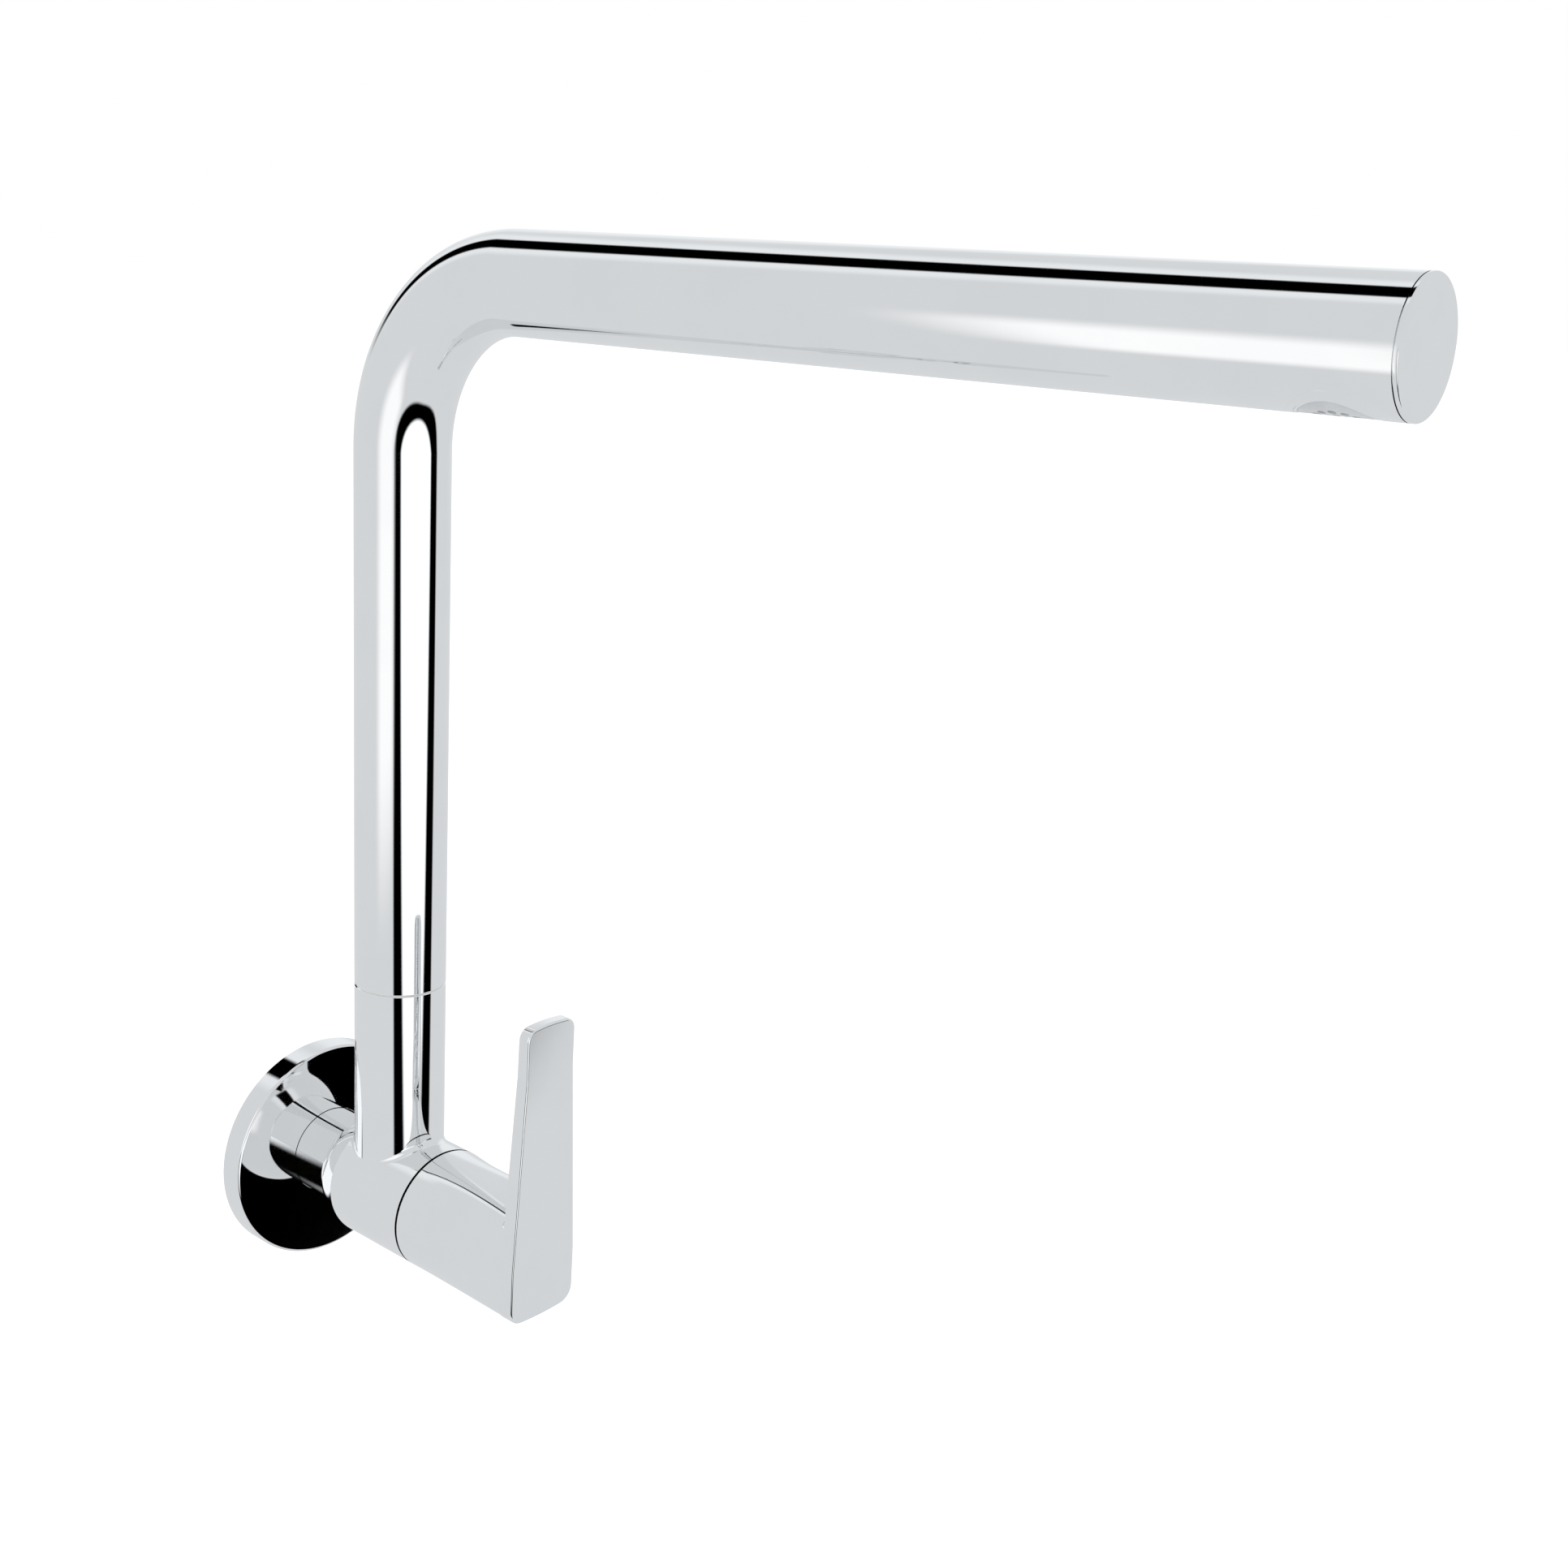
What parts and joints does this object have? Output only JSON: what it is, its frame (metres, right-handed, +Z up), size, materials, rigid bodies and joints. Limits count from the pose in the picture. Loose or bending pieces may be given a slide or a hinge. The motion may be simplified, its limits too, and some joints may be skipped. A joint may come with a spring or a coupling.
{
  "type": "wall mounted kitchen faucet",
  "caption": "Wall mounted single lever sink tap: round flange, domed horizontal body, flat upright lever and a tall swinging tube spout with a square reach.",
  "frame": {"origin": "on the finished wall plane, where the inlet thread's axis crosses it", "axes": "+Y into the wall along the inlet axis, -Y out of the wall towards the user, +Z up along the spout's riser, +X to the right as seen from the front"},
  "size_m": [0.064, 0.32, 0.297],
  "materials": {
    "chrome": "polished",
    "brass": "machined",
    "rubber": "matte",
    "ceramic": "lapped",
    "steel": "brushed",
    "plastic": "moulded"
  },
  "bodies": {
    "tap_body": {"valve_body": "chrome", "wall_flange": "chrome", "flange_o_ring": "rubber", "inlet_nipple": "brass", "headwork_body": "brass", "headwork_o_ring": "rubber", "disc_seat_seal": "rubber", "fixed_ceramic_disc": "ceramic", "stop_screw": "steel"},
    "handle": {"lever_handle": "chrome", "handle_insert": "plastic", "handle_set_screw": "steel", "spindle": "brass", "spindle_o_rings": "rubber", "spindle_clip": "steel", "thrust_washer": "plastic", "moving_ceramic_disc": "ceramic"},
    "spout": {"spout_tube": "chrome", "spout_end_cap": "chrome", "spout_spigot": "brass", "spigot_o_rings": "rubber", "lower_glide_ring": "plastic", "upper_glide_ring": "plastic", "aerator_seat": "chrome", "aerator_washer": "rubber", "aerator_screen": "steel", "aerator_insert": "plastic", "aerator_housing": "chrome"}
  },
  "joints": [
    {"name": "handle_turn", "type": "hinge", "parent": "tap_body", "child": "handle", "pos_m": [0, 0, 0], "axis": [0, -1, 0], "range_deg": [0, 90]},
    {"name": "spout_swivel", "type": "hinge", "parent": "tap_body", "child": "spout", "pos_m": [0, -0.039, 0], "axis": [0, 0, 1], "range_deg": [-90, 90]}
  ]
}
